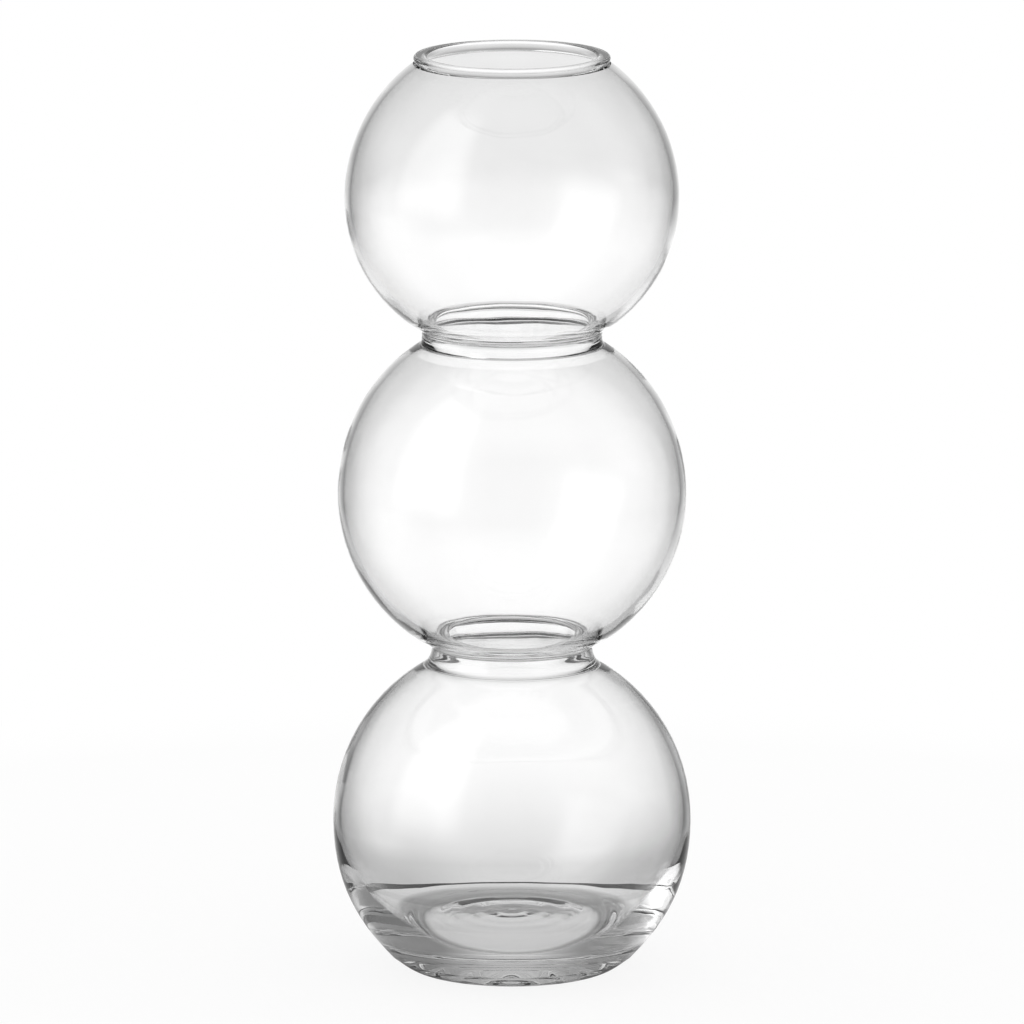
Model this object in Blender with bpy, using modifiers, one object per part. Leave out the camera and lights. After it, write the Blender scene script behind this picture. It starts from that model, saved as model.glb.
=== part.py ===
"""Bud vase of clear blown glass: three bulbs with narrow necks between them and a bead round the mouth.

Every piece is turned: half of its section, drawn in the XZ plane, is spun round the Z axis.
Lengths are metres, +Z is up, and the origin is the middle of the foot, on the table.
"""

import math

import bpy

# Gap left between two pieces that are fused in the real glass
SEAM_GAP = 0.0003

# Base bulb: an oval above its equator, and a side that turns in over a heel to a flat foot
BASE_RADIUS = 0.0484
BASE_EQUATOR_HEIGHT = 0.0410
BASE_RISE = 0.0486
BASE_WALL = 0.0021
BASE_SIDE_REACH = 0.0180
HEEL_RADIUS = 0.0330
HEEL_HEIGHT = 0.0040
HEEL_SIDE_SLOPE = math.radians(46)
HEEL_SIDE_REACH = 0.0120
HEEL_FOOT_SLOPE = math.radians(34)
HEEL_FOOT_REACH = 0.0025
FOOT_RADIUS = 0.0253
FOOT_REACH = 0.0030
FOOT_RING_WIDTH = 0.0025
PUNT_SLOPE_WIDTH = 0.0010
PUNT_DEPTH = 0.0012

# Heavy floor of the base bulb: level in the middle, and steep from its knee up to the thin wall
BASE_FLOOR_THICKNESS = 0.0109
FLOOR_LEVEL_RADIUS = 0.0234
FLOOR_REACH = 0.0013
KNEE_RADIUS = 0.0330
KNEE_RISE = 0.0011
KNEE_SLOPE = math.radians(43)
KNEE_FLOOR_REACH = 0.0040
KNEE_WALL_REACH = 0.0120
CAVITY_SIDE_REACH = 0.0105

# Middle bulb: a rise over its equator to the upper neck, a drop under it to the lower neck
MIDDLE_RADIUS = 0.0470
MIDDLE_RISE = 0.04765
MIDDLE_DROP = 0.04705
MIDDLE_WALL = 0.0018

# Top bulb
TOP_RADIUS = 0.0450
TOP_RISE = 0.0451
TOP_DROP = 0.0425
TOP_WALL = 0.00165

# Neck rings: a thin collar on the bulb below, under the thick rounded edge of the bulb above
LOWER_BORE_RADIUS = 0.0168
LOWER_NECK_WALL = 0.0072
LOWER_COLLAR_WALL = 0.0026
LOWER_CREASE_DEPTH = 0.0023
LOWER_CORNER_WALL = 0.0011
LOWER_FLARE_WIDTH = 0.0050
LOWER_RING_HEIGHT = 0.00816
LOWER_CREASE_DROP = 0.00296
LOWER_CORNER_DROP = 0.00416
LOWER_RIDGE_DROP = 0.00116
UPPER_BORE_RADIUS = 0.0202
UPPER_NECK_WALL = 0.0049
UPPER_COLLAR_WALL = 0.0022
UPPER_CREASE_DEPTH = 0.00075
UPPER_CORNER_WALL = 0.0015
UPPER_FLARE_WIDTH = 0.00305
UPPER_RING_HEIGHT = 0.00576
UPPER_CREASE_DROP = 0.00183
UPPER_CORNER_DROP = 0.00323
UPPER_RIDGE_DROP = 0.00083
COLLAR_SLOPE = math.radians(31)
RIDGE_STEP = 0.0006
RIDGE_NOSE = 0.0009

# Mouth and rim bead
MOUTH_RADIUS = 0.02265
BEAD_WIDTH = 0.0038
BEAD_HEIGHT = 0.0028
BEAD_SEAT_DEPTH = 0.00085
SHOULDER_LIP = 0.0001
MOUTH_STEP = 0.0009

# Radii of the necks' and the shoulder's outer edges
LOWER_COLLAR_RADIUS = LOWER_BORE_RADIUS + LOWER_NECK_WALL
LOWER_COLLAR_INSIDE = LOWER_COLLAR_RADIUS - LOWER_COLLAR_WALL
LOWER_CREASE_RADIUS = LOWER_COLLAR_RADIUS - LOWER_CREASE_DEPTH
LOWER_CORNER_RADIUS = LOWER_CREASE_RADIUS - LOWER_CORNER_WALL
LOWER_FLARE_RADIUS = LOWER_CREASE_RADIUS + LOWER_FLARE_WIDTH
UPPER_COLLAR_RADIUS = UPPER_BORE_RADIUS + UPPER_NECK_WALL
UPPER_COLLAR_INSIDE = UPPER_COLLAR_RADIUS - UPPER_COLLAR_WALL
UPPER_CREASE_RADIUS = UPPER_COLLAR_RADIUS - UPPER_CREASE_DEPTH
UPPER_CORNER_RADIUS = UPPER_CREASE_RADIUS - UPPER_CORNER_WALL
UPPER_FLARE_RADIUS = UPPER_CREASE_RADIUS + UPPER_FLARE_WIDTH
SHOULDER_RADIUS = MOUTH_RADIUS + BEAD_WIDTH + SHOULDER_LIP

# Facets
TURN_STEPS = 48
OUTER_ARC_POINTS = 16
INNER_ARC_POINTS = 14
HEEL_POINTS = 6
FLOOR_POINTS = 6
COLLAR_POINTS = 6
COLLAR_INSIDE_POINTS = 4
RIDGE_POINTS = 6
BEAD_POINTS = 14

# An oval is never asked to reach more than this share of its half width
OVAL_LIMIT = 0.99

# Clear soda-lime glass
GLASS_COLOUR = (0.95, 0.97, 0.965, 1.0)
GLASS_ROUGHNESS = 0.02
GLASS_IOR = 1.52
GLASS_TRANSMISSION = 1.0

COLLECTION_NAME = "bud_vase"
MERGE_DISTANCE = 0.00001


def oval_height(radius, half_width, half_height):
    """Height of an oval over or under its equator, at a radius."""
    share = min(1.0, radius / half_width)
    return half_height * math.sqrt(1.0 - share * share)


def oval_through(radius, height, half_width):
    """Half height of the oval that reaches a radius at a height over its equator."""
    share = min(OVAL_LIMIT, radius / half_width)
    return height / math.sqrt(1.0 - share * share)


def oval_arc(half_width, half_height, equator, start, end, count):
    """Points of an oval from one angle to another, measured up from its equator."""
    points = []
    for index in range(count):
        angle = start + (end - start) * index / (count - 1)
        radius = half_width * math.cos(angle)
        height = equator + half_height * math.sin(angle)
        points.append((radius, height))
    return points


def smooth_curve(start, start_pull, end_pull, end, count):
    """Points of a cubic curve between two points, drawn towards the two points between them."""
    points = []
    for index in range(count):
        share = index / (count - 1)
        rest = 1.0 - share
        weights = (rest ** 3, 3 * rest * rest * share, 3 * rest * share * share, share ** 3)
        corners = (start, start_pull, end_pull, end)
        radius = sum(weight * corner[0] for weight, corner in zip(weights, corners))
        height = sum(weight * corner[1] for weight, corner in zip(weights, corners))
        points.append((radius, height))
    return points


def sloped(start, slope, reach):
    """The spot at a reach from another, up a slope that is measured from level."""
    return (start[0] + reach * math.cos(slope), start[1] + reach * math.sin(slope))


def bulb_side(radius, rise, drop, equator, top, bottom, count):
    """One side of a bulb's section, from its top edge down to its bottom edge, both given as heights."""
    upper_angle = math.asin((top - equator) / rise)
    lower_angle = math.asin((bottom - equator) / drop)
    half = count // 2
    upper = oval_arc(radius, rise, equator, upper_angle, 0.0, half)
    lower = oval_arc(radius, drop, equator, 0.0, lower_angle, half)
    return upper + lower[1:]


def heights():
    """Heights of the seams and of the bulbs' equators, stacked up from the foot."""
    base_rise = oval_height(LOWER_COLLAR_RADIUS, BASE_RADIUS, BASE_RISE)
    middle_drop = oval_height(LOWER_FLARE_RADIUS, MIDDLE_RADIUS, MIDDLE_DROP)
    middle_rise = oval_height(UPPER_COLLAR_RADIUS, MIDDLE_RADIUS, MIDDLE_RISE)
    top_drop = oval_height(UPPER_FLARE_RADIUS, TOP_RADIUS, TOP_DROP)
    top_rise = oval_height(SHOULDER_RADIUS, TOP_RADIUS, TOP_RISE)
    level = {}
    level["base_top"] = BASE_EQUATOR_HEIGHT + base_rise
    level["lower_ring_bottom"] = level["base_top"] + SEAM_GAP
    level["lower_ring_top"] = level["lower_ring_bottom"] + LOWER_RING_HEIGHT
    level["middle_bottom"] = level["lower_ring_top"] + SEAM_GAP
    level["middle_equator"] = level["middle_bottom"] + middle_drop
    level["middle_top"] = level["middle_equator"] + middle_rise
    level["upper_ring_bottom"] = level["middle_top"] + SEAM_GAP
    level["upper_ring_top"] = level["upper_ring_bottom"] + UPPER_RING_HEIGHT
    level["top_bottom"] = level["upper_ring_top"] + SEAM_GAP
    level["top_equator"] = level["top_bottom"] + top_drop
    level["top_top"] = level["top_equator"] + top_rise
    level["bead_bottom"] = level["top_top"] + SEAM_GAP
    level["bead_middle"] = level["bead_bottom"] + BEAD_SEAT_DEPTH
    return level


def cavity_section(neck_height):
    """Inside of the base bulb, from the middle of its floor over the knee and up the wall to the collar."""
    inner_radius = BASE_RADIUS - BASE_WALL
    inner_rise = oval_through(LOWER_COLLAR_INSIDE, neck_height, inner_radius)
    neck_angle = math.asin(neck_height / inner_rise)
    floor_edge = (FLOOR_LEVEL_RADIUS, BASE_FLOOR_THICKNESS)
    knee = (KNEE_RADIUS, BASE_FLOOR_THICKNESS + KNEE_RISE)
    side = (inner_radius, BASE_EQUATOR_HEIGHT)
    rise = smooth_curve(
        floor_edge, (FLOOR_LEVEL_RADIUS + FLOOR_REACH, BASE_FLOOR_THICKNESS),
        sloped(knee, KNEE_SLOPE, -KNEE_FLOOR_REACH), knee, FLOOR_POINTS,
    )
    lower_wall = smooth_curve(
        knee, sloped(knee, KNEE_SLOPE, KNEE_WALL_REACH),
        (inner_radius, BASE_EQUATOR_HEIGHT - CAVITY_SIDE_REACH), side, INNER_ARC_POINTS,
    )
    upper_wall = oval_arc(inner_radius, inner_rise, BASE_EQUATOR_HEIGHT, 0.0, neck_angle, INNER_ARC_POINTS)
    return [(0.0, BASE_FLOOR_THICKNESS)] + rise + lower_wall[1:] + upper_wall[1:]


def base_bulb_section(level):
    """Up the inside to the collar, down the outside, round the heel to the foot and in under the punt."""
    neck_height = level["base_top"] - BASE_EQUATOR_HEIGHT
    collar_angle = math.asin(neck_height / BASE_RISE)
    side_top = (BASE_RADIUS, BASE_EQUATOR_HEIGHT)
    heel = (HEEL_RADIUS, HEEL_HEIGHT)
    foot_edge = (FOOT_RADIUS, 0.0)
    shoulder = oval_arc(BASE_RADIUS, BASE_RISE, BASE_EQUATOR_HEIGHT, collar_angle, 0.0, OUTER_ARC_POINTS)
    side = smooth_curve(
        side_top, (BASE_RADIUS, BASE_EQUATOR_HEIGHT - BASE_SIDE_REACH),
        sloped(heel, HEEL_SIDE_SLOPE, HEEL_SIDE_REACH), heel, OUTER_ARC_POINTS,
    )
    under_heel = smooth_curve(
        heel, sloped(heel, HEEL_FOOT_SLOPE, -HEEL_FOOT_REACH),
        (FOOT_RADIUS + FOOT_REACH, 0.0), foot_edge, HEEL_POINTS,
    )
    punt_edge = FOOT_RADIUS - FOOT_RING_WIDTH
    punt = [(punt_edge, 0.0), (punt_edge - PUNT_SLOPE_WIDTH, PUNT_DEPTH), (0.0, PUNT_DEPTH)]
    return cavity_section(neck_height) + shoulder + side[1:] + under_heel[1:] + punt


def bulb_section(size, equator, top, bottom, inner_top_radius, inner_bottom_radius):
    """Closed section of an open bulb: down its outside, across its lower seam and up its inside."""
    radius, rise, drop, wall = size
    outer = bulb_side(radius, rise, drop, equator, top, bottom, OUTER_ARC_POINTS)
    inner_rise = oval_through(inner_top_radius, top - equator, radius - wall)
    inner_drop = oval_through(inner_bottom_radius, equator - bottom, radius - wall)
    inner = bulb_side(radius - wall, inner_rise, inner_drop, equator, top, bottom, INNER_ARC_POINTS)
    inner.reverse()
    return outer + inner


def ring_section(outside, inside, bottom, top):
    """Closed section of a neck ring: down its flare and collar, up inside the collar and over the ridge."""
    collar, crease, flare = outside
    collar_inside, corner, ridge = inside
    collar_reach = (crease[1] - bottom) / 3
    inside_reach = (corner[1] - bottom) / 3
    ridge_start = ((corner[0] + ridge[0]) / 2, (corner[1] + ridge[1]) / 2)
    collar_side = smooth_curve(
        crease, (crease[0], crease[1] - collar_reach),
        sloped((collar, bottom), -COLLAR_SLOPE, -collar_reach), (collar, bottom), COLLAR_POINTS,
    )
    inner_side = smooth_curve(
        (collar_inside, bottom), sloped((collar_inside, bottom), -COLLAR_SLOPE, -inside_reach),
        (corner[0], corner[1] - inside_reach), corner, COLLAR_INSIDE_POINTS,
    )
    under_ridge = smooth_curve(corner, ridge_start, (ridge[0], ridge[1] - RIDGE_NOSE), ridge, RIDGE_POINTS)
    return [(flare, top)] + collar_side + inner_side + under_ridge[1:] + [(ridge[0] + RIDGE_STEP, top)]


def bead_section(level):
    """Closed section of the rim bead: an oval, cut flat where it sits on the top bulb."""
    half_width = BEAD_WIDTH / 2
    half_height = BEAD_HEIGHT / 2
    cut_angle = -math.asin(BEAD_SEAT_DEPTH / half_height)
    start = math.pi - cut_angle
    oval = oval_arc(half_width, half_height, level["bead_middle"], start, cut_angle, BEAD_POINTS)
    return [(MOUTH_RADIUS + half_width + radius, height) for radius, height in oval]


def glass(name):
    """Clear glass: it lets all light through, and its surface is fire-polished."""
    material = bpy.data.materials.new(name)
    material.use_nodes = True
    shader = material.node_tree.nodes["Principled BSDF"]
    shader.inputs["Base Color"].default_value = GLASS_COLOUR
    shader.inputs["Roughness"].default_value = GLASS_ROUGHNESS
    shader.inputs["Metallic"].default_value = 0.0
    shader.inputs["IOR"].default_value = GLASS_IOR
    shader.inputs["Transmission Weight"].default_value = GLASS_TRANSMISSION
    return material


def turned(name, section, closed, collection):
    """A piece spun round the Z axis from its section, whose outer side runs from top to bottom."""
    vertices = [(radius, 0.0, height) for radius, height in section]
    edges = [(index, index + 1) for index in range(len(section) - 1)]
    if closed:
        edges.append((len(section) - 1, 0))
    mesh = bpy.data.meshes.new(name)
    mesh.from_pydata(vertices, edges, [])
    piece = bpy.data.objects.new(name, mesh)
    collection.objects.link(piece)
    spin = piece.modifiers.new("Turn", "SCREW")
    spin.axis = "Z"
    spin.angle = math.tau
    spin.steps = TURN_STEPS
    spin.render_steps = TURN_STEPS
    spin.use_merge_vertices = True
    spin.merge_threshold = MERGE_DISTANCE
    spin.use_smooth_shade = True
    mesh.materials.append(glass(name + "_glass"))
    return piece


def clear_scene():
    """Leave nothing from a scene that was open before."""
    for item in list(bpy.data.objects):
        bpy.data.objects.remove(item, do_unlink=True)


def build():
    """Make the six pieces, from the foot up."""
    clear_scene()
    collection = bpy.data.collections.new(COLLECTION_NAME)
    bpy.context.scene.collection.children.link(collection)
    level = heights()

    base_bulb = base_bulb_section(level)
    lower_top = level["lower_ring_top"]
    upper_top = level["upper_ring_top"]
    lower_neck_ring = ring_section(
        (LOWER_COLLAR_RADIUS, (LOWER_CREASE_RADIUS, lower_top - LOWER_CREASE_DROP), LOWER_FLARE_RADIUS),
        (LOWER_COLLAR_INSIDE, (LOWER_CORNER_RADIUS, lower_top - LOWER_CORNER_DROP),
         (LOWER_BORE_RADIUS, lower_top - LOWER_RIDGE_DROP)),
        level["lower_ring_bottom"], lower_top,
    )
    middle_bulb = bulb_section(
        (MIDDLE_RADIUS, MIDDLE_RISE, MIDDLE_DROP, MIDDLE_WALL),
        level["middle_equator"], level["middle_top"], level["middle_bottom"],
        UPPER_COLLAR_INSIDE, LOWER_BORE_RADIUS + RIDGE_STEP,
    )
    upper_neck_ring = ring_section(
        (UPPER_COLLAR_RADIUS, (UPPER_CREASE_RADIUS, upper_top - UPPER_CREASE_DROP), UPPER_FLARE_RADIUS),
        (UPPER_COLLAR_INSIDE, (UPPER_CORNER_RADIUS, upper_top - UPPER_CORNER_DROP),
         (UPPER_BORE_RADIUS, upper_top - UPPER_RIDGE_DROP)),
        level["upper_ring_bottom"], upper_top,
    )
    top_bulb = bulb_section(
        (TOP_RADIUS, TOP_RISE, TOP_DROP, TOP_WALL),
        level["top_equator"], level["top_top"], level["top_bottom"],
        MOUTH_RADIUS + MOUTH_STEP, UPPER_BORE_RADIUS + RIDGE_STEP,
    )
    rim_bead = bead_section(level)

    turned("base_bulb", base_bulb, False, collection)
    turned("lower_neck_ring", lower_neck_ring, True, collection)
    turned("middle_bulb", middle_bulb, True, collection)
    turned("upper_neck_ring", upper_neck_ring, True, collection)
    turned("top_bulb", top_bulb, True, collection)
    turned("rim_bead", rim_bead, True, collection)


build()
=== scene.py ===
"""Looks of the clear-glass bud vase: three blown bulbs, two ringed necks, a rolled rim and a heavy foot.

Every piece is turned: a drawn outline in the XZ plane is spun round the vase's axis.
"""

import math

import bpy
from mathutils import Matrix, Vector


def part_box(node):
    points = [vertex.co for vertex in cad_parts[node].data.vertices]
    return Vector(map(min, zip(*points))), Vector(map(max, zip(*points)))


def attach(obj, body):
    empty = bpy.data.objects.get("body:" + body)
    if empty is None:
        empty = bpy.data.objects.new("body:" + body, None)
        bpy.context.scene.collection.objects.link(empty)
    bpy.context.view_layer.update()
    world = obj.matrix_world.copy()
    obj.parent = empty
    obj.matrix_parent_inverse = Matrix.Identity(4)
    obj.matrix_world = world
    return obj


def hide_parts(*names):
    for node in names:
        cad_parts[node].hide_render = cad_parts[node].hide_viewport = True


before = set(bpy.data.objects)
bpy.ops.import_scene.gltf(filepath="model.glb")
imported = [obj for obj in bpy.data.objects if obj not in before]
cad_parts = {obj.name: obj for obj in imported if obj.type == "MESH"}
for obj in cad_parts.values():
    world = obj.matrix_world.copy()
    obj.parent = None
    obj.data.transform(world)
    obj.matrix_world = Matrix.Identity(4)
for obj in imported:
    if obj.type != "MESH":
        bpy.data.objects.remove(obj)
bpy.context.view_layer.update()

MM = 0.001

# Heights of the fused seams, halfway between the two solids that meet there
SEAM_BASE = (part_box("base_bulb")[1].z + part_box("lower_neck_ring")[0].z) / 2
SEAM_LOWER = (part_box("lower_neck_ring")[1].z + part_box("middle_bulb")[0].z) / 2
SEAM_MIDDLE = (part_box("middle_bulb")[1].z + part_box("upper_neck_ring")[0].z) / 2
SEAM_UPPER = (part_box("upper_neck_ring")[1].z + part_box("top_bulb")[0].z) / 2
SEAM_RIM = (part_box("top_bulb")[1].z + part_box("rim_bead")[0].z) / 2
RIM_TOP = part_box("rim_bead")[1].z

# Base bulb: an oval above its equator, a heavy rippled floor inside and a heel drawn in to the foot.
# A reach is the length of a curve's handle
BASE_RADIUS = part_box("base_bulb")[1].x
BASE_EQUATOR = 41.0 * MM
BASE_RISE = 48.6 * MM
BASE_WALL = 2.1 * MM
FLOOR_HEIGHT = 10.9 * MM
RIPPLE_COUNT = 9
RIPPLE_SPACING = 2.6 * MM
FLOOR_RIPPLE = 0.05 * MM
KNEE_RADIUS = 33.0 * MM
KNEE_HEIGHT = 12.0 * MM
KNEE_SLOPE = math.radians(43)
KNEE_FLOOR_REACH = 4.0 * MM
KNEE_WALL_REACH = 12.0 * MM
CAVITY_SIDE_REACH = 10.5 * MM
BASE_SIDE_REACH = 18.0 * MM
HEEL_RADIUS = 33.0 * MM
HEEL_HEIGHT = 4.0 * MM
HEEL_SIDE_SLOPE = math.radians(46)
HEEL_SIDE_REACH = 12.0 * MM
HEEL_FOOT_SLOPE = math.radians(34)
HEEL_FOOT_REACH = 2.5 * MM
FOOT_RADIUS = 25.3 * MM
FOOT_REACH = 3.0 * MM
FOOT_RING_WIDTH = 1.3 * MM
PUNT_EDGE_REACH = 4.0 * MM
PUNT_MIDDLE_REACH = 12.0 * MM
PUNT_DEPTH = 2.3 * MM

# Middle bulb and top bulb
MIDDLE_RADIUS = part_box("middle_bulb")[1].x
MIDDLE_EQUATOR = 130.686 * MM
MIDDLE_WALL = 1.8 * MM
TOP_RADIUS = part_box("top_bulb")[1].x
TOP_EQUATOR = 211.044 * MM
TOP_WALL = 1.65 * MM

# Neck rings: a thin collar, over it a crease outside and a corner and a rolled lip inside, and then a flare.
# Each is a radius on the vase, some with a height; LIP_RADIUS is the roundness of the lip itself
LOWER_COLLAR = 24.0 * MM
LOWER_COLLAR_INSIDE = 21.6 * MM
LOWER_CREASE = 21.7 * MM
LOWER_CREASE_HEIGHT = 88.7 * MM
LOWER_CORNER = 20.6 * MM
LOWER_CORNER_HEIGHT = 88.2 * MM
LOWER_LIP = 18.2 * MM
LOWER_LIP_HEIGHT = 90.3 * MM
LOWER_FLARE_INSIDE = 21.8 * MM
LOWER_FLARE = 26.7 * MM
UPPER_COLLAR = 25.1 * MM
UPPER_COLLAR_INSIDE = 22.4 * MM
UPPER_CREASE = 24.35 * MM
UPPER_CREASE_HEIGHT = 175.2 * MM
UPPER_CORNER = 22.6 * MM
UPPER_CORNER_HEIGHT = 174.3 * MM
UPPER_LIP = 21.8 * MM
UPPER_LIP_HEIGHT = 175.8 * MM
UPPER_FLARE_INSIDE = 23.3 * MM
UPPER_FLARE = 27.4 * MM
LIP_RADIUS = 0.8 * MM
LIP_OVER_REACH = 1.5 * MM
LIP_UNDER_REACH = 1.0 * MM

# Mouth: a bead on the shoulder of the top bulb; the reach of its sides is a share of their height
MOUTH_RADIUS = 22.65 * MM
MOUTH_STEP = 0.9 * MM
BEAD_WIDTH = 3.8 * MM
BEAD_ROUND = 0.9 * MM
BEAD_DRAW_IN = 0.8 * MM
BEAD_SIDE_REACH = 0.6
SHOULDER_RADIUS = 26.55 * MM

# Glass, with the slow waves of hand-made glass, some 18 mm long
GLASS_COLOUR = "FFFFFF"
GLASS_IOR = 1.52
SHADOW_COLOUR = "F5F5F5"
WAVE_LENGTH = 18.0 * MM
WAVE_HEIGHT = 0.15 * MM

# Meshes
TURN_STEPS = 128
CURVE_STEPS = 14
WELD_DISTANCE = 0.001 * MM
SMOOTH_ANGLE = math.radians(35)
LEVEL_NORMAL = 0.999

# Photograph: a long lens, a little over the vase's middle
CAMERA_DISTANCE = 3.8
CAMERA_ELEVATION = math.radians(11.07)
CAMERA_AIM = 0.1252
CAMERA_REACH = 100
SENSOR_WIDTH = 36.0
PHOTO_WIDTH = 1024
FOCAL_PIXELS = 14100

# Studio that the glass sees, fitted to the photograph. Its tones are pairs of an elevation in degrees
# and a grey, one set towards the backdrops and one beside them
BACKDROP_TONES = (
    (-90, 1.0), (-11, 1.0), (-9.6, 0.93), (-9.2, 0.82), (5, 0.65),
    (15, 0.55), (30, 0.33), (60, 0.45), (80, 0.70),
)
SIDE_TONES = ((-90, 0.95), (-28, 0.85), (-12, 0.17), (30, 0.17), (60, 0.40), (80, 0.70))
STUDIO_LEVEL = 1.08
# Azimuths of the backdrops, from straight behind the vase towards the left, and the sines at which they fade
BACKDROP_AZIMUTHS = (0.0, math.radians(90), math.radians(225))
BACKDROP_CORE = 0.12
BACKDROP_EDGE = 0.52
# Soft panel at the left of the camera
PANEL_MIDDLE = math.radians(119)
PANEL_HALF_WIDTH = math.radians(31)
PANEL_FULL_WIDTH = math.radians(12)
PANEL_LOW = math.radians(-14)
PANEL_HIGH = math.radians(70)
PANEL_FADE = math.radians(20)
PANEL_LEVEL = 1.1

# Floor that the camera sees: white, with a share of matt white that takes the shadow
FLOOR_RADIUS = 0.60
FLOOR_CORNERS = 96
FLOOR_COLOUR = "F4F4F4"
FLOOR_FADE_START = 0.12
FLOOR_FADE_END = 0.35
FLOOR_WHITE_SHARE = 0.85
# Floor that the glass sees, fitted to the photograph: a small round table whose dark rim is painted shade.
# Its tones are pairs of a radius in mm and a grey, with a painted shadow round the foot, darkest under the
# heel
TABLE_RADIUS = 58.0 * MM
TABLE_WHITE_SHARE = 0.35
TABLE_RIM = 5.5 * MM
TABLE_RIM_SHADE_COLOUR = "2E2E2E"
TABLE_TONES_WITH_PAINTED_SHADOW = ((0, 0.95), (22, 0.95), (25, 0.28), (35, 0.38), (43, 0.80))
# The sweep round the table is shaded by it, and also beside the backdrops. Each shade is full up to its
# near distance and gone at its far one
SWEEP_NEAR = 0.09
SWEEP_FAR = 0.30
SWEEP_FALL = 3.0
SWEEP_SHADE = 0.34
SIDE_NEAR = 0.22
SIDE_FAR = 0.55
SIDE_SHADE = 0.25

# Light crosses many walls of glass and many seams
GLASS_BOUNCES = 32
GLOSSY_BOUNCES = 16
CLEAR_BOUNCES = 64


def linear(hex_colour):
    """Linear RGBA of an sRGB hex colour."""
    channels = []
    for start in (0, 2, 4):
        value = int(hex_colour[start:start + 2], 16) / 255
        channels.append(value / 12.92 if value <= 0.04045 else ((value + 0.055) / 1.055) ** 2.4)
    return (*channels, 1.0)


def add_node(tree, kind, settings=None, links=None):
    """Adds a node, sets its properties and input values, and links other nodes' outputs to its inputs."""
    node = tree.nodes.new(kind)
    for key, value in (settings or {}).items():
        if isinstance(key, int) or key in node.inputs:
            node.inputs[key].default_value = value
        else:
            setattr(node, key, value)
    for key, output in (links or {}).items():
        tree.links.new(output, node.inputs[key])
    return node


def oval_reach(radius, height, half_width):
    """Half height of the oval that has a radius at a height over its equator."""
    return height / math.sqrt(1 - (radius / half_width) ** 2)


def line(start, end):
    """A straight stroke of an outline, as two knots with their handles."""
    third = (end - start) / 3
    return [(start, start + third), (end - third, end)]


def arc(centre, half_width, half_height, first, last):
    """A stroke along an oval between two angles, measured up from its equator."""
    reach = 4 / 3 * math.tan((last - first) / 4)

    def spot(angle):
        return centre + Vector((half_width * math.cos(angle), half_height * math.sin(angle)))

    def pull(angle):
        return reach * Vector((-half_width * math.sin(angle), half_height * math.cos(angle)))

    return [(spot(first), spot(first) + pull(first)), (spot(last) - pull(last), spot(last))]


def curve(start, start_handle, end_handle, end):
    """A free stroke with its two handles."""
    return [(start, start_handle), (end_handle, end)]


def sloped(slope, reach):
    """Handle of a slope and length, measured up from level."""
    return Vector((math.cos(slope), math.sin(slope))) * reach


def spun(name, strokes, closed):
    """Draws an outline of strokes as a Bezier curve, makes it a mesh and spins it round the axis."""
    bpy.ops.object.select_all(action="DESELECT")
    bpy.ops.curve.primitive_bezier_curve_add()
    outline = bpy.context.object
    outline.name = name
    outline.data.resolution_u = CURVE_STEPS
    spline = outline.data.splines[0]
    spline.use_cyclic_u = closed
    spline.bezier_points.add(len(strokes) + (0 if closed else 1) - len(spline.bezier_points))
    for knot in spline.bezier_points:
        knot.handle_left_type = "FREE"
        knot.handle_right_type = "FREE"
    for index, ((start, start_handle), (end_handle, end)) in enumerate(strokes):
        knot = spline.bezier_points[index]
        following = spline.bezier_points[(index + 1) % len(spline.bezier_points)]
        knot.co = (start.x, 0, start.y)
        knot.handle_right = (start_handle.x, 0, start_handle.y)
        following.handle_left = (end_handle.x, 0, end_handle.y)
        following.co = (end.x, 0, end.y)
    if not closed:
        spline.bezier_points[0].handle_left = spline.bezier_points[0].co
        spline.bezier_points[-1].handle_right = spline.bezier_points[-1].co
    bpy.ops.object.convert(target="MESH")
    bpy.ops.object.mode_set(mode="EDIT")
    bpy.ops.mesh.select_all(action="SELECT")
    bpy.ops.mesh.remove_doubles(threshold=WELD_DISTANCE)
    bpy.ops.mesh.spin(steps=TURN_STEPS, angle=math.tau, center=(0, 0, 0), axis=(0, 0, 1))
    bpy.ops.mesh.select_all(action="SELECT")
    bpy.ops.mesh.remove_doubles(threshold=WELD_DISTANCE)
    bpy.ops.mesh.normals_make_consistent(inside=False)
    bpy.ops.object.mode_set(mode="OBJECT")
    bpy.ops.object.shade_smooth_by_angle(angle=SMOOTH_ANGLE)
    return outline


def ripples(height, swing):
    """Low rings round the axis like those of poured glass, as strokes outwards from the middle."""
    strokes = []
    pull = Vector((RIPPLE_SPACING / 2, 0))
    spot = Vector((0, height + swing))
    for index in range(1, RIPPLE_COUNT + 1):
        swing = -swing
        following = Vector((index * RIPPLE_SPACING, height + swing))
        strokes.append(curve(spot, spot + pull, following - pull, following))
        spot = following
    return strokes


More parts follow.
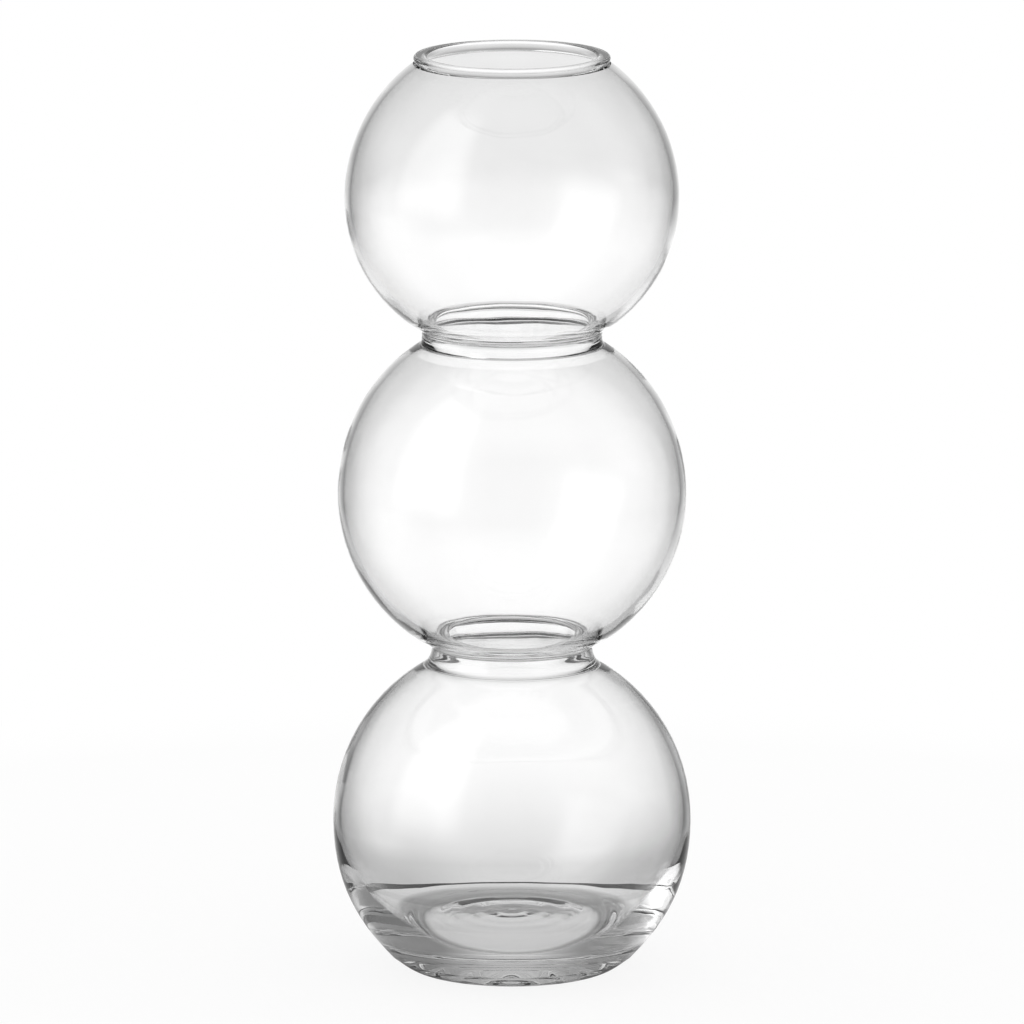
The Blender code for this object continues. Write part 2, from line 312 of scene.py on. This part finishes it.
def base_bulb_outline():
    """Floor of the cavity, wall up to the seam, down the outside, round the foot and in under the punt."""
    neck = SEAM_BASE - BASE_EQUATOR
    inner = BASE_RADIUS - BASE_WALL
    inner_rise = oval_reach(LOWER_COLLAR_INSIDE, neck, inner)
    equator = Vector((0, BASE_EQUATOR))
    inner_angle = math.asin(neck / inner_rise)
    outer_angle = math.asin(neck / BASE_RISE)
    foot = Vector((FOOT_RADIUS, 0))
    punt_edge = Vector((FOOT_RADIUS - FOOT_RING_WIDTH, 0))
    floor = ripples(FLOOR_HEIGHT, FLOOR_RIPPLE)
    floor_end = floor[-1][1][1]
    punt_middle = Vector((0, PUNT_DEPTH))
    side = Vector((BASE_RADIUS, BASE_EQUATOR))
    heel = Vector((HEEL_RADIUS, HEEL_HEIGHT))
    knee = Vector((KNEE_RADIUS, KNEE_HEIGHT))
    cavity_side = Vector((inner, BASE_EQUATOR))
    floor_rise = curve(floor_end, floor_end + Vector((RIPPLE_SPACING / 2, 0)),
                       knee - sloped(KNEE_SLOPE, KNEE_FLOOR_REACH), knee)
    lower_wall = curve(knee, knee + sloped(KNEE_SLOPE, KNEE_WALL_REACH),
                       cavity_side - Vector((0, CAVITY_SIDE_REACH)), cavity_side)
    wall = arc(equator, inner, inner_rise, 0, inner_angle)
    collar = arc(equator, BASE_RADIUS, BASE_RISE, outer_angle, 0)
    seam = line(wall[1][1], collar[0][0])
    body = curve(side, side - Vector((0, BASE_SIDE_REACH)),
                 heel + sloped(HEEL_SIDE_SLOPE, HEEL_SIDE_REACH), heel)
    under_heel = curve(heel, heel - sloped(HEEL_FOOT_SLOPE, HEEL_FOOT_REACH),
                       foot + Vector((FOOT_REACH, 0)), foot)
    punt = curve(punt_edge, punt_edge - Vector((PUNT_EDGE_REACH, 0)),
                 punt_middle + Vector((PUNT_MIDDLE_REACH, 0)), punt_middle)
    inside = floor + [floor_rise, lower_wall, wall, seam]
    outside = [collar, body, under_heel, line(foot, punt_edge), punt]
    return inside + outside


def bulb_outline(size, equator_height, seams, outer_radii, inner_radii):
    """Open bulb: down its outside, across its lower seam, up its inside and across its upper seam."""
    radius, wall = size
    top, bottom = seams
    inner = radius - wall
    equator = Vector((0, equator_height))
    outer_rise = oval_reach(outer_radii[0], top - equator_height, radius)
    outer_drop = oval_reach(outer_radii[1], equator_height - bottom, radius)
    inner_rise = oval_reach(inner_radii[0], top - equator_height, inner)
    inner_drop = oval_reach(inner_radii[1], equator_height - bottom, inner)
    strokes = [
        arc(equator, radius, outer_rise, math.asin((top - equator_height) / outer_rise), 0),
        arc(equator, radius, outer_drop, 0, -math.asin((equator_height - bottom) / outer_drop)),
    ]
    inside = [
        arc(equator, inner, inner_drop, -math.asin((equator_height - bottom) / inner_drop), 0),
        arc(equator, inner, inner_rise, 0, math.asin((top - equator_height) / inner_rise)),
    ]
    strokes.append(line(strokes[-1][1][1], inside[0][0][0]))
    strokes += inside
    strokes.append(line(strokes[-1][1][1], strokes[0][0][0]))
    return strokes


def bulb_slope(radius, bulb_radius, height):
    """Steepness of a bulb's side, from level, where it has a radius at a height over or under its equator."""
    sine = math.sqrt(1 - (radius / bulb_radius) ** 2)
    half_height = height / sine
    return math.atan2(half_height * radius / bulb_radius, bulb_radius * sine)


def ring_outline(outside, inside, seams, outer_slopes):
    """Neck ring: down its flare and its collar outside, up the collar inside and round the rolled lip."""
    flare, crease, collar = outside
    collar_inside, corner, lip, flare_inside = inside
    bottom, top = seams
    slope_below, slope_above = outer_slopes
    upper = Vector((flare, top))
    lower = Vector((collar, bottom))
    inner_lower = Vector((collar_inside, bottom))
    inner_upper = Vector((flare_inside, top))
    flare_pull = sloped(slope_above, (upper - crease).length / 3)
    collar_reach = (crease - lower).length / 3
    wall_pull = Vector((0, (corner - inner_lower).length / 3))
    lip_bottom = lip - Vector((0, LIP_RADIUS))
    lip_top = lip + Vector((0, LIP_RADIUS))
    return [
        curve(upper, upper - flare_pull, crease + flare_pull, crease),
        curve(crease, crease - Vector((0, collar_reach)),
              lower + sloped(math.pi - slope_below, collar_reach), lower),
        line(lower, inner_lower),
        curve(inner_lower, inner_lower + wall_pull, corner - wall_pull, corner),
        curve(corner, corner + (lip_bottom - corner) / 3,
              lip_bottom + Vector((LIP_UNDER_REACH, 0)), lip_bottom),
        arc(lip, LIP_RADIUS, LIP_RADIUS, math.pi * 3 / 2, math.pi),
        arc(lip, LIP_RADIUS, LIP_RADIUS, math.pi, math.pi / 2),
        curve(lip_top, lip_top + Vector((LIP_OVER_REACH, 0)),
              inner_upper - sloped(slope_above, LIP_OVER_REACH), inner_upper),
        line(inner_upper, upper),
    ]


def bead_outline():
    """Rim bead: a flat top with rounded edges, and sides that draw in where it sits on the top bulb."""
    round_height = RIM_TOP - BEAD_ROUND
    inner_side = Vector((MOUTH_RADIUS, round_height))
    outer_side = Vector((MOUTH_RADIUS + BEAD_WIDTH, round_height))
    inner_round = inner_side + Vector((BEAD_ROUND, 0))
    outer_round = outer_side - Vector((BEAD_ROUND, 0))
    inner_foot = Vector((MOUTH_RADIUS + BEAD_DRAW_IN, SEAM_RIM))
    outer_foot = Vector((MOUTH_RADIUS + BEAD_WIDTH - BEAD_DRAW_IN, SEAM_RIM))
    pull = Vector((0, (round_height - SEAM_RIM) * BEAD_SIDE_REACH))
    return [
        curve(inner_foot, inner_foot, inner_side - pull, inner_side),
        arc(inner_round, BEAD_ROUND, BEAD_ROUND, math.pi, math.pi / 2),
        line(inner_round + Vector((0, BEAD_ROUND)), outer_round + Vector((0, BEAD_ROUND))),
        arc(outer_round, BEAD_ROUND, BEAD_ROUND, math.pi / 2, 0),
        curve(outer_side, outer_side - pull, outer_foot, outer_foot),
        line(outer_foot, inner_foot),
    ]


def clear_glass():
    """Fire-polished soda-lime glass: colourless and very smooth, so only its edges and thick places show.

    Shadow rays pass it as a clear sheet, so that the vase's shadow stays pale.
    """
    material = bpy.data.materials.new("fire_polished_soda_lime_glass")
    material.use_nodes = True
    tree = material.node_tree
    tree.nodes.clear()
    place = add_node(tree, "ShaderNodeTexCoord")
    waves = add_node(tree, "ShaderNodeTexNoise", {"Scale": 1 / WAVE_LENGTH, "Detail": 1.0},
                     {"Vector": place.outputs["Object"]})
    wavy = add_node(tree, "ShaderNodeBump", {"Distance": WAVE_HEIGHT}, {"Height": waves.outputs["Fac"]})
    glass = add_node(tree, "ShaderNodeBsdfPrincipled", {
        "Base Color": linear(GLASS_COLOUR), "Roughness": 0.0, "IOR": GLASS_IOR, "Transmission Weight": 1.0,
    }, {"Normal": wavy.outputs[0]})
    lamp_glass = add_node(tree, "ShaderNodeBsdfTransparent", {"Color": linear(SHADOW_COLOUR)})
    ray = add_node(tree, "ShaderNodeLightPath")
    mix = add_node(tree, "ShaderNodeMixShader", links={
        0: ray.outputs["Is Shadow Ray"], 1: glass.outputs[0], 2: lamp_glass.outputs[0],
    })
    add_node(tree, "ShaderNodeOutputMaterial", links={"Surface": mix.outputs[0]})
    return material


def fused_seam():
    """Where two gathers of glass are fused there is no surface, so light goes straight on."""
    material = bpy.data.materials.new("fused_glass_seam")
    material.use_nodes = True
    tree = material.node_tree
    tree.nodes.clear()
    clear = add_node(tree, "ShaderNodeBsdfTransparent", {"Color": linear(GLASS_COLOUR)})
    add_node(tree, "ShaderNodeOutputMaterial", links={"Surface": clear.outputs[0]})
    return material


def finish_glass(piece, glass, seam, seam_heights):
    """Gives the piece its glass, and its flat ends the material of a fused seam."""
    piece.data.materials.clear()
    piece.data.materials.append(glass)
    piece.data.materials.append(seam)
    for face in piece.data.polygons:
        level = any(abs(face.center.z - height) < WELD_DISTANCE for height in seam_heights)
        flat = abs(face.normal.z) > LEVEL_NORMAL
        face.material_index = 1 if level and flat else 0


def direction(azimuth):
    """Level direction, turned from straight behind the vase towards the left."""
    return Vector((-math.sin(azimuth), math.cos(azimuth), 0))


def smooth_step(start, end):
    """Settings of a node that goes smoothly from 0 to 1 as its value goes from the start to the end."""
    return {"interpolation_type": "SMOOTHSTEP", "From Min": start, "From Max": end}


def backdrop_share(tree, level):
    """One towards the middle of a backdrop and nothing beside it, the most of all the backdrops."""
    most = None
    for azimuth in BACKDROP_AZIMUTHS:
        aside = add_node(tree, "ShaderNodeVectorMath",
                         {"operation": "DOT_PRODUCT", 1: direction(azimuth + math.pi / 2)}, {0: level})
        aside = add_node(tree, "ShaderNodeMath", {"operation": "ABSOLUTE"}, {0: aside.outputs["Value"]})
        card = add_node(tree, "ShaderNodeMapRange", {"From Min": BACKDROP_EDGE, "From Max": BACKDROP_CORE},
                        {"Value": aside.outputs[0]})
        ahead = add_node(tree, "ShaderNodeVectorMath", {"operation": "DOT_PRODUCT", 1: direction(azimuth)},
                         {0: level})
        ahead = add_node(tree, "ShaderNodeMath", {"operation": "GREATER_THAN", 1: 0.0},
                         {0: ahead.outputs["Value"]})
        card = add_node(tree, "ShaderNodeMath", {"operation": "MULTIPLY"},
                        {0: card.outputs[0], 1: ahead.outputs[0]})
        if most is None:
            most = card
        else:
            most = add_node(tree, "ShaderNodeMath", {"operation": "MAXIMUM"},
                            {0: most.outputs[0], 1: card.outputs[0]})
    return most


def set_tones(ramp, places):
    """Gives a ramp its grey tones, each at its place from 0 to 1."""
    stops = ramp.color_ramp.elements
    stops.remove(stops[1])
    for index, (place, tone) in enumerate(places):
        stop = stops[0] if index == 0 else stops.new(place)
        stop.position = place
        stop.color = (tone, tone, tone, 1.0)
    return ramp


def studio_tones(tree, height):
    """Light beside the backdrops and on them, at each elevation."""
    up = add_node(tree, "ShaderNodeMath", {"operation": "MULTIPLY_ADD", 1: 0.5, 2: 0.5}, {0: height})
    tones = []
    for steps in (SIDE_TONES, BACKDROP_TONES):
        places = [((math.sin(math.radians(elevation)) + 1) / 2, tone) for elevation, tone in steps]
        ramp = add_node(tree, "ShaderNodeValToRGB", links={"Fac": up.outputs[0]})
        tones.append(set_tones(ramp, places))
    return tones


def soft_panel(tree, level, height):
    """Large soft light at the camera's left, which gives the bulbs their upright highlights."""
    ahead = add_node(tree, "ShaderNodeVectorMath", {"operation": "DOT_PRODUCT", 1: direction(PANEL_MIDDLE)},
                     {0: level})
    wide = add_node(tree, "ShaderNodeMapRange",
                    smooth_step(math.cos(PANEL_HALF_WIDTH), math.cos(PANEL_FULL_WIDTH)),
                    {"Value": ahead.outputs["Value"]})
    low = add_node(tree, "ShaderNodeMapRange",
                   smooth_step(math.sin(PANEL_LOW), math.sin(PANEL_LOW + PANEL_FADE)), {"Value": height})
    high = add_node(tree, "ShaderNodeMapRange",
                    smooth_step(math.sin(PANEL_HIGH), math.sin(PANEL_HIGH - PANEL_FADE)), {"Value": height})
    tall = add_node(tree, "ShaderNodeMath", {"operation": "MULTIPLY"},
                    {0: low.outputs[0], 1: high.outputs[0]})
    return add_node(tree, "ShaderNodeMath", {"operation": "MULTIPLY"},
                    {0: wide.outputs[0], 1: tall.outputs[0]})


def studio_world():
    """White for the camera and as light on the floor; for the glass, the studio's tones and soft panel."""
    world = bpy.data.worlds.new("studio")
    bpy.context.scene.world = world
    world.use_nodes = True
    tree = world.node_tree
    tree.nodes.clear()
    ray = add_node(tree, "ShaderNodeLightPath")
    place = add_node(tree, "ShaderNodeTexCoord")
    split = add_node(tree, "ShaderNodeSeparateXYZ", links={0: place.outputs["Generated"]})
    height = split.outputs["Z"]
    flat = add_node(tree, "ShaderNodeCombineXYZ", links={"X": split.outputs["X"], "Y": split.outputs["Y"]})
    level = add_node(tree, "ShaderNodeVectorMath", {"operation": "NORMALIZE"}, {0: flat.outputs[0]})
    share = backdrop_share(tree, level.outputs[0])
    beside, behind = studio_tones(tree, height)
    walls = add_node(tree, "ShaderNodeMix", {"data_type": "FLOAT"},
                     {0: share.outputs[0], 2: beside.outputs["Color"], 3: behind.outputs["Color"]})
    walls = add_node(tree, "ShaderNodeMath", {"operation": "MULTIPLY", 1: STUDIO_LEVEL},
                     {0: walls.outputs[0]})
    panel = soft_panel(tree, level.outputs[0], height)
    lit = add_node(tree, "ShaderNodeMath", {"operation": "MULTIPLY_ADD", 1: PANEL_LEVEL},
                   {0: panel.outputs[0], 2: walls.outputs[0]})
    through_glass = add_node(tree, "ShaderNodeMath", {"operation": "MAXIMUM"},
                             {0: ray.outputs["Is Glossy Ray"], 1: ray.outputs["Is Transmission Ray"]})
    strength = add_node(tree, "ShaderNodeMix", {"data_type": "FLOAT", 2: 1.0},
                        {0: through_glass.outputs[0], 3: lit.outputs[0]})
    light = add_node(tree, "ShaderNodeBackground", {"Color": linear("FFFFFF")},
                     {"Strength": strength.outputs[0]})
    add_node(tree, "ShaderNodeOutputWorld", links={"Surface": light.outputs[0]})


def floor_for_camera(tree, matt, away):
    """Mostly glowing white, with a share of matt white that takes the shadow, less of it farther away."""
    glow = add_node(tree, "ShaderNodeEmission", {"Color": linear("FFFFFF"), "Strength": 1.0})
    fade = add_node(tree, "ShaderNodeMapRange", smooth_step(FLOOR_FADE_START, FLOOR_FADE_END),
                    {"Value": away})
    white = add_node(tree, "ShaderNodeMath", {"operation": "MAXIMUM", 1: FLOOR_WHITE_SHARE},
                     {0: fade.outputs[0]})
    return add_node(tree, "ShaderNodeMixShader",
                    links={0: white.outputs[0], 1: matt.outputs[0], 2: glow.outputs[0]})


def floor_for_glass(tree, away, share):
    """A small round table, its dark rim painted shade, in a clear sweep that dims what is seen through it."""
    near = add_node(tree, "ShaderNodeMapRange", {"From Min": SWEEP_FAR, "From Max": SWEEP_NEAR},
                    {"Value": away})
    fall = add_node(tree, "ShaderNodeMath", {"operation": "POWER", 1: SWEEP_FALL}, {0: near.outputs[0]})
    shade = add_node(tree, "ShaderNodeMath", {"operation": "MULTIPLY_ADD", 1: -SWEEP_SHADE, 2: 1.0},
                     {0: fall.outputs[0]})
    aside = add_node(tree, "ShaderNodeMapRange", smooth_step(SIDE_FAR, SIDE_NEAR), {"Value": away})
    dim = add_node(tree, "ShaderNodeMapRange", {"To Min": 1 - SIDE_SHADE, "To Max": 1.0},
                   {"Value": share.outputs[0]})
    dim = add_node(tree, "ShaderNodeMix", {"data_type": "FLOAT", 2: 1.0},
                   {0: aside.outputs[0], 3: dim.outputs[0]})
    shade = add_node(tree, "ShaderNodeMath", {"operation": "MULTIPLY"},
                     {0: shade.outputs[0], 1: dim.outputs[0]})
    sweep = add_node(tree, "ShaderNodeBsdfTransparent", links={"Color": shade.outputs[0]})
    # The dark rim is painted shade at the table's edge
    rim = add_node(tree, "ShaderNodeBsdfDiffuse", {"Color": linear(TABLE_RIM_SHADE_COLOUR)})
    inside = add_node(tree, "ShaderNodeMath", {"operation": "LESS_THAN", 1: TABLE_RADIUS}, {0: away})
    on_top = add_node(tree, "ShaderNodeMath", {"operation": "LESS_THAN", 1: TABLE_RADIUS - TABLE_RIM},
                      {0: away})
    edged = add_node(tree, "ShaderNodeMixShader",
                     links={0: inside.outputs[0], 1: sweep.outputs[0], 2: rim.outputs[0]})
    out = add_node(tree, "ShaderNodeMath", {"operation": "DIVIDE", 1: TABLE_RADIUS}, {0: away})
    # Table tones: a painted shadow round the foot, darkest under the heel, in both the matt and the glowing
    # share
    places = [(radius * MM / TABLE_RADIUS, tone) for radius, tone in TABLE_TONES_WITH_PAINTED_SHADOW]
    tone = set_tones(add_node(tree, "ShaderNodeValToRGB", links={"Fac": out.outputs[0]}), places)
    matt = add_node(tree, "ShaderNodeBsdfDiffuse", links={"Color": tone.outputs["Color"]})
    glow = add_node(tree, "ShaderNodeEmission", {"Strength": 1.0}, {"Color": tone.outputs["Color"]})
    top = add_node(tree, "ShaderNodeMixShader", {0: TABLE_WHITE_SHARE},
                   {1: matt.outputs[0], 2: glow.outputs[0]})
    return add_node(tree, "ShaderNodeMixShader",
                    links={0: on_top.outputs[0], 1: edged.outputs[0], 2: top.outputs[0]})


def studio_floor():
    """White floor: it keeps the soft shadow by the foot, and fades to plain white at its edge."""
    bpy.ops.object.select_all(action="DESELECT")
    bpy.ops.mesh.primitive_circle_add(vertices=FLOOR_CORNERS, radius=FLOOR_RADIUS, fill_type="NGON")
    floor = bpy.context.object
    floor.name = "studio_floor"
    material = bpy.data.materials.new("white_studio_floor")
    material.use_nodes = True
    tree = material.node_tree
    tree.nodes.clear()
    matt = add_node(tree, "ShaderNodeBsdfDiffuse", {"Color": linear(FLOOR_COLOUR)})
    place = add_node(tree, "ShaderNodeTexCoord")
    away = add_node(tree, "ShaderNodeVectorMath", {"operation": "LENGTH"}, {0: place.outputs["Object"]})
    for_camera = floor_for_camera(tree, matt, away.outputs["Value"])
    outwards = add_node(tree, "ShaderNodeVectorMath", {"operation": "NORMALIZE"},
                        {0: place.outputs["Object"]})
    share = backdrop_share(tree, outwards.outputs[0])
    for_glass = floor_for_glass(tree, away.outputs["Value"], share)
    ray = add_node(tree, "ShaderNodeLightPath")
    mix = add_node(tree, "ShaderNodeMixShader", links={
        0: ray.outputs["Is Camera Ray"], 1: for_glass.outputs[0], 2: for_camera.outputs[0],
    })
    add_node(tree, "ShaderNodeOutputMaterial", links={"Surface": mix.outputs[0]})
    floor.data.materials.append(material)


def photo_camera():
    """Camera of the photograph."""
    bpy.ops.object.camera_add()
    camera = bpy.context.object
    camera.name = "photo_camera"
    back = Vector((0, -math.cos(CAMERA_ELEVATION), math.sin(CAMERA_ELEVATION)))
    camera.location = Vector((0, 0, CAMERA_AIM)) + back * CAMERA_DISTANCE
    camera.rotation_euler = (-back).to_track_quat("-Z", "Y").to_euler()
    camera.data.sensor_width = SENSOR_WIDTH
    camera.data.lens = FOCAL_PIXELS / PHOTO_WIDTH * SENSOR_WIDTH
    camera.data.clip_end = CAMERA_REACH
    bpy.context.scene.camera = camera


def build_vase():
    """The six pieces of glass, each in the place of its solid."""
    glass = clear_glass()
    seam = fused_seam()
    seams = (SEAM_BASE, SEAM_LOWER, SEAM_MIDDLE, SEAM_UPPER, SEAM_RIM)
    lower_crease = Vector((LOWER_CREASE, LOWER_CREASE_HEIGHT))
    lower_corner = Vector((LOWER_CORNER, LOWER_CORNER_HEIGHT))
    lower_lip = Vector((LOWER_LIP, LOWER_LIP_HEIGHT))
    upper_crease = Vector((UPPER_CREASE, UPPER_CREASE_HEIGHT))
    upper_corner = Vector((UPPER_CORNER, UPPER_CORNER_HEIGHT))
    upper_lip = Vector((UPPER_LIP, UPPER_LIP_HEIGHT))
    lower_ring = ring_outline(
        (LOWER_FLARE, lower_crease, LOWER_COLLAR),
        (LOWER_COLLAR_INSIDE, lower_corner, lower_lip, LOWER_FLARE_INSIDE),
        (SEAM_BASE, SEAM_LOWER),
        (bulb_slope(LOWER_COLLAR, BASE_RADIUS, SEAM_BASE - BASE_EQUATOR),
         bulb_slope(LOWER_FLARE, MIDDLE_RADIUS, MIDDLE_EQUATOR - SEAM_LOWER)))
    upper_ring = ring_outline(
        (UPPER_FLARE, upper_crease, UPPER_COLLAR),
        (UPPER_COLLAR_INSIDE, upper_corner, upper_lip, UPPER_FLARE_INSIDE),
        (SEAM_MIDDLE, SEAM_UPPER),
        (bulb_slope(UPPER_COLLAR, MIDDLE_RADIUS, SEAM_MIDDLE - MIDDLE_EQUATOR),
         bulb_slope(UPPER_FLARE, TOP_RADIUS, TOP_EQUATOR - SEAM_UPPER)))
    middle_bulb = bulb_outline(
        (MIDDLE_RADIUS, MIDDLE_WALL), MIDDLE_EQUATOR, (SEAM_MIDDLE, SEAM_LOWER),
        (UPPER_COLLAR, LOWER_FLARE), (UPPER_COLLAR_INSIDE, LOWER_FLARE_INSIDE))
    top_bulb = bulb_outline(
        (TOP_RADIUS, TOP_WALL), TOP_EQUATOR, (SEAM_RIM, SEAM_UPPER),
        (SHOULDER_RADIUS, UPPER_FLARE), (MOUTH_RADIUS + MOUTH_STEP, UPPER_FLARE_INSIDE))
    outlines = {
        "base_bulb": (base_bulb_outline(), False),
        "lower_neck_ring": (lower_ring, True),
        "middle_bulb": (middle_bulb, True),
        "upper_neck_ring": (upper_ring, True),
        "top_bulb": (top_bulb, True),
        "rim_bead": (bead_outline(), True),
    }
    for node, (strokes, closed) in outlines.items():
        piece = spun(node + "_glass", strokes, closed)
        finish_glass(piece, glass, seam, seams)
        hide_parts(node)
        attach(piece, "root")


def studio_settings():
    """Plain colours, and enough bounces for light that crosses many walls of glass."""
    scene = bpy.context.scene
    scene.view_settings.view_transform = "Standard"
    scene.cycles.max_bounces = GLASS_BOUNCES
    scene.cycles.transmission_bounces = GLASS_BOUNCES
    scene.cycles.glossy_bounces = GLOSSY_BOUNCES
    scene.cycles.transparent_max_bounces = CLEAR_BOUNCES


photo_camera()
build_vase()
studio_floor()
studio_world()
studio_settings()
